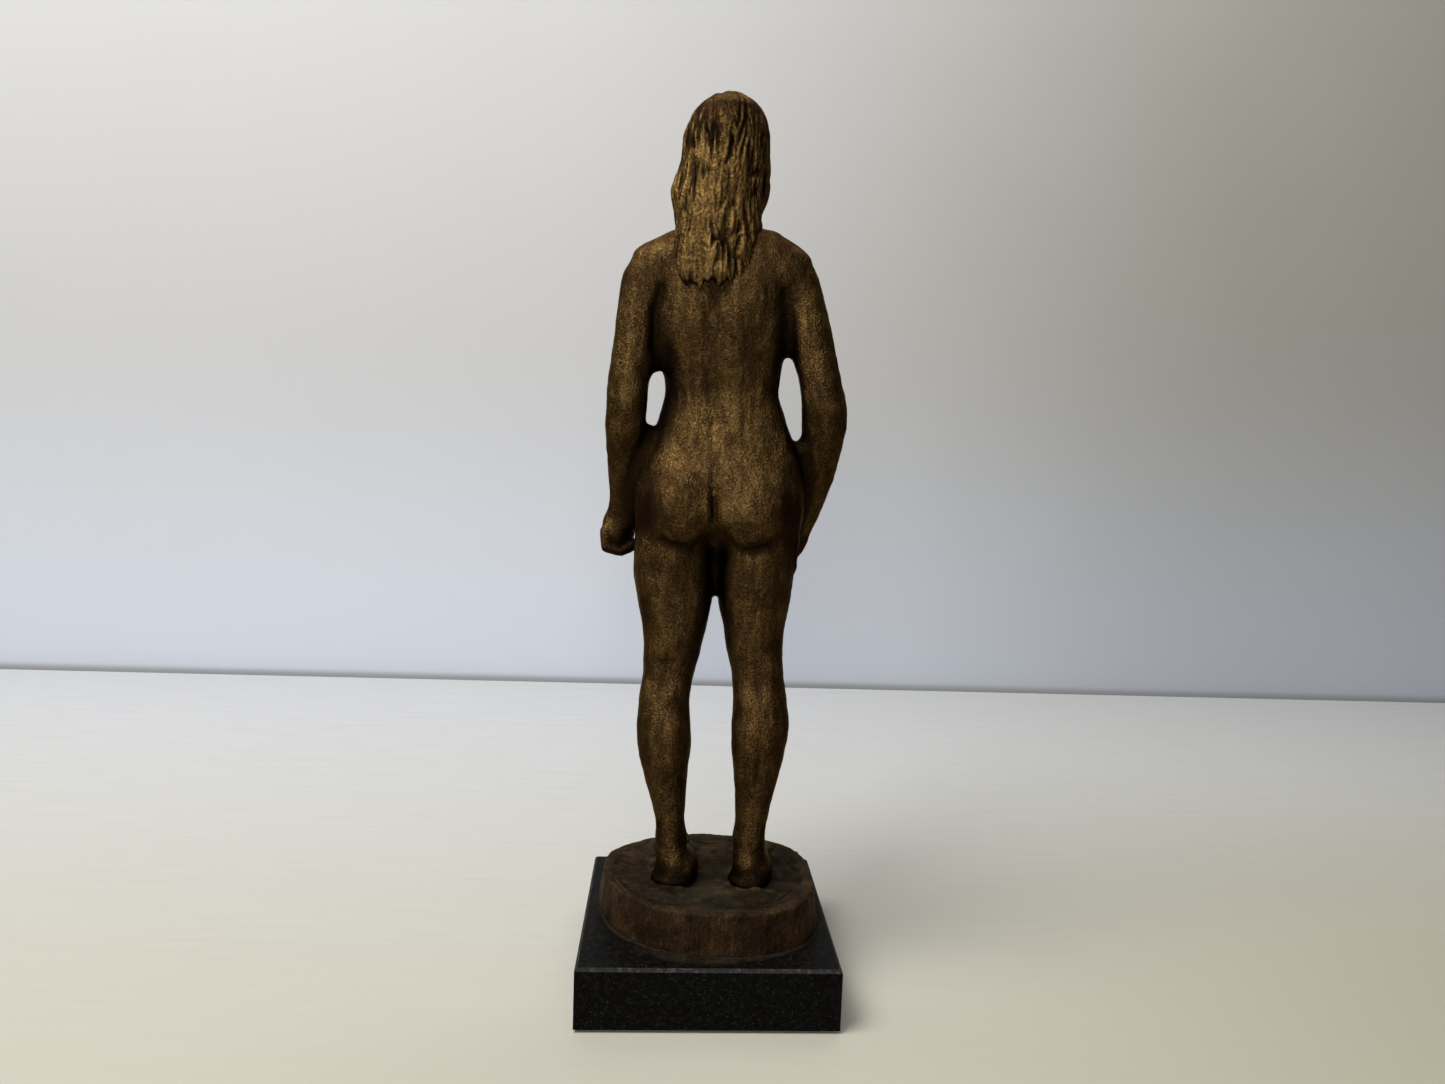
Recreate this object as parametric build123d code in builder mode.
from build123d import *
import os
from math import cos, pi, radians, sin

# Bronze statuette: a standing woman with long hair, cast hollow and set by tenons
# into an oval bronze plinth, which two studs hold down on a polished granite block.
# Millimetres. Origin at the centre of the underside, +Z up, the figure faces -Y
# and its left side is +X.

# ---------------------------------------------------------------- driving sizes
figure_height = 252.0       # sole to crown
plinth_width = 72.0         # across X at the foot of the plinth
plinth_depth = 65.0         # across Y at the foot of the plinth
plinth_height = 12.0
plinth_draft = 1.4          # how far the rim stands in from the foot
plinth_wall = 4.0           # side wall of the hollow plinth
plinth_plate = 4.5          # top plate of the hollow plinth
granite_margin = 4.0        # granite shown beyond the plinth's width on each side
granite_thickness = 19.0
granite_bevel = 0.9
bedding_thickness = 0.5     # compound between bronze and stone
bedding_spread = 1.2        # how far it has squeezed out round the plinth
felt_thickness = 1.0
felt_inset = 1.5
shell_wall = 4.0            # bronze round the hollow torso
core_pin_radius = 1.5       # plugs that close the holes of the core pins
tenon_radius = 3.6          # under each foot, through the plinth's plate
tenon_proud = 1.0           # peened end inside the plinth
fit_gap = 0.05              # tenon, plug and thread clearance, on the radius

# M5 fixings
stud_radius = 2.5
stud_tip_gap = 0.4          # between the stud's tip and the level of the tenons' ends
stud_proud = 1.2            # stud past the nut
boss_radius = 5.5
boss_gap = 1.0              # between a boss and the plinth's side wall
granite_hole_radius = 3.2
counterbore_radius = 7.5
washer_radius = 5.0
washer_hole_radius = 2.65
washer_thickness = 1.0
lock_washer_radius = 4.4
lock_washer_thickness = 1.2
lock_washer_slit = 1.0
nut_across_flats = 8.0
nut_height = 4.0
nut_floor_gap = 1.0         # between the stud's end and the felt
thread_chamfer = 0.5

DRAWN_HEIGHT = 252.0        # the height that the figure's sections are drawn for

# ------------------------------------------------------------ worked-out places
granite_side = plinth_width + 2 * granite_margin
granite_z = felt_thickness
bedding_z = granite_z + granite_thickness
plinth_z = bedding_z + bedding_thickness
sole_z = plinth_z + plinth_height
stud_x = plinth_width / 2 - plinth_draft - plinth_wall - boss_gap - boss_radius
fixing_stack = washer_thickness + lock_washer_thickness + nut_height
counterbore_depth = nut_floor_gap + stud_proud + fixing_stack
washer_z = granite_z + counterbore_depth - washer_thickness
lock_washer_z = washer_z - lock_washer_thickness
nut_z = lock_washer_z - nut_height
stud_bottom_z = nut_z - stud_proud
tenon_end_z = sole_z - plinth_plate - tenon_proud
stud_top_z = tenon_end_z - stud_tip_gap
figure_scale = figure_height / DRAWN_HEIGHT
core_pin_reach = figure_height / 6     # from the middle of the torso past its skin

# ------------------------------------------------------------- figure's sections
# Each section is a level ellipse: height above the sole, centre x, centre y,
# half width, half depth.
TORSO = [
    (97, 0.7, 0.2, 7.0, 5.4),
    (103, 0.7, 0.4, 20.0, 9.4),
    (112, 0.6, 0.8, 26.8, 12.8),
    (122, 0.4, 0.9, 27.8, 13.8),
    (132, 0.3, -0.2, 27.3, 14.2),
    (142, 0.3, -1.8, 24.4, 12.8),
    (151, 0.5, -2.6, 20.8, 10.8),
    (160, 0.8, -2.5, 18.5, 10.2),
    (170, 1.0, -1.6, 20.2, 11.4),
    (181, 1.3, -0.2, 21.8, 12.6),
    (191, 1.6, 0.9, 24.4, 12.2),
    (199, 1.8, 1.9, 26.4, 10.0),
    (204, 1.8, 2.6, 23.0, 8.4),
    (208, 1.9, 2.6, 15.0, 7.4),
    (212, 1.9, 2.2, 8.6, 6.8),
]
CORE = TORSO[3:-3]      # the hollow runs from the hips to the shoulders
LEFT_LEG = [
    (3.0, 12.6, 4.2, 5.2, 6.4),
    (9.0, 12.5, 4.4, 4.9, 6.0),
    (16.0, 12.6, 4.0, 5.0, 5.7),
    (27.0, 13.7, 3.8, 5.8, 6.2),
    (40.0, 15.2, 3.4, 8.2, 8.0),
    (52.0, 15.9, 2.8, 8.9, 8.6),
    (63.0, 15.7, 1.4, 8.4, 8.3),
    (73.0, 14.6, 0.2, 8.7, 8.6),
    (84.0, 13.8, -1.0, 10.2, 10.0),
    (96.0, 14.0, -1.4, 12.2, 11.8),
    (108.0, 14.0, -0.8, 13.4, 13.2),
    (118.0, 12.6, -0.4, 12.6, 12.8),
]
RIGHT_LEG = [
    (3.0, -13.8, 4.2, 5.3, 6.4),
    (9.0, -13.8, 4.4, 5.0, 6.0),
    (16.0, -13.9, 4.0, 5.2, 5.7),
    (27.0, -14.7, 3.8, 6.1, 6.2),
    (40.0, -15.4, 3.4, 8.4, 8.0),
    (52.0, -15.7, 2.8, 9.3, 8.6),
    (63.0, -15.2, 1.4, 8.6, 8.3),
    (73.0, -13.5, 0.2, 9.1, 8.6),
    (84.0, -12.7, -1.0, 10.3, 10.0),
    (96.0, -12.5, -1.4, 12.0, 11.8),
    (108.0, -12.8, -0.8, 13.2, 13.2),
    (118.0, -11.8, -0.4, 12.6, 12.8),
]
LEFT_ARM = [
    (204, 24.6, 2.4, 3.2, 3.6),
    (200, 26.0, 2.6, 5.4, 5.8),
    (193, 27.4, 3.0, 6.5, 7.2),
    (180, 28.4, 3.6, 6.5, 7.0),
    (166, 29.9, 4.4, 6.2, 6.4),
    (153, 30.9, 5.0, 6.3, 6.3),
    (143, 31.4, 2.0, 5.8, 6.2),
    (133, 31.9, -4.4, 5.0, 5.7),
    (124, 32.4, -10.6, 4.2, 4.6),
    (120, 32.8, -12.6, 5.2, 5.4),
    (114, 33.2, -14.4, 6.0, 6.2),
    (109, 32.8, -15.0, 4.8, 5.0),
    (106, 32.4, -15.2, 2.6, 2.8),
]
RIGHT_ARM = [
    (204, -21.0, 2.4, 3.2, 3.6),
    (200, -22.6, 2.6, 5.4, 5.8),
    (193, -24.3, 3.0, 6.4, 7.2),
    (180, -27.0, 3.6, 6.8, 7.0),
    (166, -30.3, 4.4, 7.0, 6.6),
    (153, -32.4, 5.0, 6.9, 6.5),
    (143, -32.0, 1.6, 6.5, 6.4),
    (133, -30.6, -4.6, 5.8, 5.9),
    (124, -29.0, -10.6, 4.8, 5.0),
    (117, -26.6, -14.6, 5.4, 4.6),
    (109, -23.6, -16.2, 5.8, 4.0),
    (101, -20.8, -15.4, 4.6, 3.2),
    (97, -19.8, -15.0, 2.4, 1.8),
]
NECK = [
    (200, 1.8, 2.6, 9.6, 8.0),
    (210, 1.9, 1.4, 8.2, 7.8),
    (222, 1.9, 0.6, 8.0, 8.2),
]
HEAD = [
    (216.5, 1.9, -8.4, 2.8, 2.6),
    (220, 1.9, -5.6, 7.0, 7.4),
    (226, 1.9, -2.0, 10.0, 11.6),
    (233, 1.9, -0.6, 11.2, 13.0),
    (240, 1.8, 0.0, 11.2, 12.8),
    (246, 1.7, 0.4, 8.6, 10.2),
]
HAIR = [
    (191.0, 3.0, 12.8, 6.6, 1.2),
    (194.0, 3.0, 12.6, 9.6, 2.2),
    (199.0, 3.3, 11.6, 11.6, 4.4),
    (207.0, 3.7, 9.4, 13.2, 7.0),
    (215.0, 3.8, 7.0, 14.0, 9.6),
    (224.0, 2.9, 4.6, 14.6, 12.0),
    (234.0, 2.1, 2.8, 13.8, 13.6),
    (242.0, 1.7, 2.2, 12.2, 12.8),
    (248.0, 1.4, 1.8, 9.2, 9.8),
    (252.0, 1.2, 1.6, 3.6, 4.0),
]
# Rounded masses: centre x, centre y, height, radius
SWELLINGS = [
    (12.6, 1.8, 122.0, 14.4),       # left buttock
    (-11.6, 1.8, 122.0, 14.4),      # right buttock
    (10.4, -7.2, 177.0, 9.6),       # left breast
    (-7.2, -7.2, 177.0, 9.6),       # right breast
    (27.2, 2.8, 194.0, 7.2),        # left shoulder
    (-23.8, 2.8, 194.0, 7.0),       # right shoulder
]
# Each foot, heel to toes: y, half width, height of the instep
FOOT = [(11.2, 3.4, 5.0), (5.0, 5.2, 8.6), (-8.0, 5.4, 7.6), (-17.0, 6.4, 4.8), (-25.0, 5.2, 2.8)]
# Ankle's centre x, and how far the foot drifts sideways for each mm forward
LEFT_FOOT = (12.8, 0.07)
RIGHT_FOOT = (-13.9, 0.16)
FEET = (LEFT_FOOT, RIGHT_FOOT)
TENON_Y = -2.0
# How full the plinth's oval is at twelve even steps, from +X round through the back (+Y)
PLINTH_FULLNESS = [0.99, 0.97, 0.99, 1.02, 1.11, 1.1, 1.02, 1.08, 1.04, 0.99, 1.01, 1.05]
# Core pins: height above the sole, centre x, +1 through the back or -1 through the front
CORE_PINS = [(186, 13.0, 1), (150, -9.0, 1), (190, -9.0, -1), (141, 9.0, -1)]


def section_plane(height):
    """The level plane at that height above the sole."""
    return Plane.XY.offset(sole_z + height * figure_scale)


def place(x, y, height):
    """A point of the figure in the part's frame."""
    return (x * figure_scale, y * figure_scale, sole_z + height * figure_scale)


def plinth_outline(inset):
    """Closed irregular oval, drawn inside the foot outline by inset."""
    half_x = plinth_width / 2 - inset
    half_y = plinth_depth / 2 - inset
    points = []
    for i, fullness in enumerate(PLINTH_FULLNESS):
        angle = 2 * pi * i / len(PLINTH_FULLNESS)
        points.append((half_x * fullness * cos(angle), half_y * fullness * sin(angle)))
    return Spline(points, periodic=True)


def level_sections(sections, inset=0.0):
    """One level ellipse for each section, for a loft."""
    faces = []
    for height, x, y, half_width, half_depth in sections:
        with BuildSketch(section_plane(height)) as section:
            with Locations((x * figure_scale, y * figure_scale)):
                Ellipse(half_width * figure_scale - inset, half_depth * figure_scale - inset)
        faces.append(section.sketch)
    return faces


def foot_sections(ankle_x, drift):
    """Upright ellipses from heel to toes, centred on the plane of the sole."""
    faces = []
    for y, half_width, instep in FOOT:
        x = ankle_x + drift * (y - TENON_Y)
        with BuildSketch(Plane.XZ.offset(-y * figure_scale)) as section:
            with Locations((x * figure_scale, sole_z)):
                Ellipse(half_width * figure_scale, instep * figure_scale)
        faces.append(section.sketch)
    return faces


# ------------------------------------------------------------------- the figure
# The feet are lofts along Y; their half below the sole is trimmed away at the end.
with BuildPart() as figure_body:
    for limb in (TORSO, LEFT_LEG, RIGHT_LEG, LEFT_ARM, RIGHT_ARM, NECK, HEAD, HAIR):
        loft(sections=level_sections(limb))
    for x, y, height, radius in SWELLINGS:
        with Locations(place(x, y, height)):
            Sphere(radius * figure_scale)
    for ankle_x, drift in FEET:
        loft(sections=foot_sections(ankle_x, drift))
    split(bisect_by=Plane.XY.offset(sole_z), keep=Keep.TOP)

# The hollow follows the torso's own sections, one wall inside them.
with BuildPart() as torso_core:
    loft(sections=level_sections(CORE, inset=shell_wall))

with BuildPart() as core_pin_tool:
    for height, x, side in CORE_PINS:
        with BuildSketch(Plane.XZ):
            with Locations((x * figure_scale, sole_z + height * figure_scale)):
                Circle(core_pin_radius)
        extrude(amount=-side * core_pin_reach)

with BuildPart() as figure:
    add(figure_body.part)
    add(torso_core.part, mode=Mode.SUBTRACT)
    add(core_pin_tool.part, mode=Mode.SUBTRACT)
    for ankle_x, _ in FEET:
        with Locations((ankle_x * figure_scale, TENON_Y * figure_scale, sole_z)):
            Cylinder(
                tenon_radius,
                sole_z - tenon_end_z,
                align=(Align.CENTER, Align.CENTER, Align.MAX),
            )
figure.part.label = "figure_casting"


# The plugs fill the pin holes from the hollow to the skin, which trims their ends.
with BuildPart() as core_pin_plugs:
    for height, x, side in CORE_PINS:
        with BuildSketch(Plane.XZ):
            with Locations((x * figure_scale, sole_z + height * figure_scale)):
                Circle(core_pin_radius - fit_gap)
        extrude(amount=-side * core_pin_reach)
    add(figure_body.part, mode=Mode.INTERSECT)
    add(torso_core.part, mode=Mode.SUBTRACT)
core_pin_plugs.part.label = "core_pin_plugs"


# ------------------------------------------------------------------- the plinth
def outline_face(inset, z):
    """The plinth's outline, drawn in by inset, as a level face."""
    with BuildSketch(Plane.XY.offset(z)) as face:
        with BuildLine():
            plinth_outline(inset)
        make_face()
    return face.sketch


with BuildPart() as plinth:
    loft(sections=[outline_face(0, plinth_z), outline_face(plinth_draft, sole_z)])
    loft(
        sections=[
            outline_face(plinth_wall, plinth_z),
            outline_face(plinth_wall + plinth_draft, sole_z - plinth_plate),
        ],
        mode=Mode.SUBTRACT,
    )
    with BuildSketch(Plane.XY.offset(plinth_z)):
        with Locations((-stud_x, 0), (stud_x, 0)):
            Circle(boss_radius)
    extrude(amount=plinth_height - plinth_plate)
    with Locations((-stud_x, 0, plinth_z), (stud_x, 0, plinth_z)):
        Cylinder(
            stud_radius + fit_gap,
            stud_top_z + stud_tip_gap - plinth_z,
            align=(Align.CENTER, Align.CENTER, Align.MIN),
            mode=Mode.SUBTRACT,
        )
    for ankle_x, _ in FEET:
        with Locations((ankle_x * figure_scale, TENON_Y * figure_scale, sole_z)):
            Cylinder(
                tenon_radius + fit_gap,
                sole_z - tenon_end_z,
                align=(Align.CENTER, Align.CENTER, Align.MAX),
                mode=Mode.SUBTRACT,
            )
plinth.part.label = "plinth_casting"

# ------------------------------------------------------- bedding, stone and felt
with BuildPart() as bedding:
    with BuildSketch(Plane.XY.offset(bedding_z)):
        with BuildLine():
            plinth_outline(-bedding_spread)
        make_face()
        with Locations((-stud_x, 0), (stud_x, 0)):
            Circle(granite_hole_radius, mode=Mode.SUBTRACT)
    extrude(amount=bedding_thickness)
bedding.part.label = "bedding_compound"

with BuildPart() as granite:
    with BuildSketch(Plane.XY.offset(granite_z)):
        Rectangle(granite_side, granite_side)
    extrude(amount=granite_thickness)
    chamfer(granite.faces().sort_by(Axis.Z)[-1].edges(), granite_bevel)
    with Locations(granite.faces().sort_by(Axis.Z)[0]):
        with Locations((-stud_x, 0), (stud_x, 0)):
            CounterBoreHole(granite_hole_radius, counterbore_radius, counterbore_depth)
granite.part.label = "granite_base"

with BuildPart() as felt:
    with BuildSketch(Plane.XY):
        Rectangle(granite_side - 2 * felt_inset, granite_side - 2 * felt_inset)
    extrude(amount=felt_thickness)
felt.part.label = "felt_sheet"


# ------------------------------------------------------------------ the fixings
def make_stud(x):
    """Threaded stud, chamfered at both ends."""
    with BuildPart() as stud:
        with BuildSketch(Plane.XY.offset(stud_bottom_z)):
            with Locations((x, 0)):
                Circle(stud_radius)
        extrude(amount=stud_top_z - stud_bottom_z)
        chamfer(stud.edges().filter_by(GeomType.CIRCLE), thread_chamfer)
    return stud.part


def make_washer(x):
    """Flat washer against the roof of the counterbore."""
    with BuildPart() as washer:
        with BuildSketch(Plane.XY.offset(washer_z)):
            with Locations((x, 0)):
                Circle(washer_radius)
                Circle(washer_hole_radius, mode=Mode.SUBTRACT)
        extrude(amount=washer_thickness)
    return washer.part


def make_lock_washer(x):
    """Spring washer: a ring cut through on one side."""
    with BuildPart() as ring:
        with BuildSketch(Plane.XY.offset(lock_washer_z)):
            with Locations((x, 0)):
                Circle(lock_washer_radius)
                Circle(washer_hole_radius, mode=Mode.SUBTRACT)
            with Locations((x, lock_washer_radius)):
                Rectangle(lock_washer_slit, 2 * lock_washer_radius, mode=Mode.SUBTRACT)
        extrude(amount=lock_washer_thickness)
    return ring.part


def make_nut(x):
    """Hexagon nut, with its corners turned off on both faces."""
    corner_radius = nut_across_flats / 2 / cos(radians(30))
    face_radius = nut_across_flats / 2
    turned_off = (corner_radius - face_radius) / 2
    with BuildPart() as nut:
        with BuildSketch(Plane.XY.offset(nut_z)):
            with Locations((x, 0)):
                RegularPolygon(corner_radius, 6)
        extrude(amount=nut_height)
        with BuildSketch(Plane((x, 0, nut_z), x_dir=(1, 0, 0), z_dir=(0, -1, 0))):
            with BuildLine():
                Polyline(
                    (0, 0),
                    (face_radius, 0),
                    (corner_radius, turned_off),
                    (corner_radius, nut_height - turned_off),
                    (face_radius, nut_height),
                    (0, nut_height),
                    close=True,
                )
            make_face()
        revolve(axis=Axis((x, 0, 0), (0, 0, 1)), mode=Mode.INTERSECT)
        with Locations((x, 0, nut_z)):
            Cylinder(
                stud_radius + fit_gap,
                nut_height,
                align=(Align.CENTER, Align.CENTER, Align.MIN),
                mode=Mode.SUBTRACT,
            )
    return nut.part


pieces = [
    figure.part,
    core_pin_plugs.part,
    plinth.part,
    bedding.part,
    granite.part,
    felt.part,
]
for side, x in (("left", stud_x), ("right", -stud_x)):
    for name, make in (
        ("stud", make_stud),
        ("flat_washer", make_washer),
        ("spring_washer", make_lock_washer),
        ("nut", make_nut),
    ):
        piece = make(x)
        piece.label = f"{name}_{side}"
        pieces.append(piece)

os.makedirs("parts", exist_ok=True)
for piece in pieces:
    export_step(piece, f"parts/{piece.label}.step")
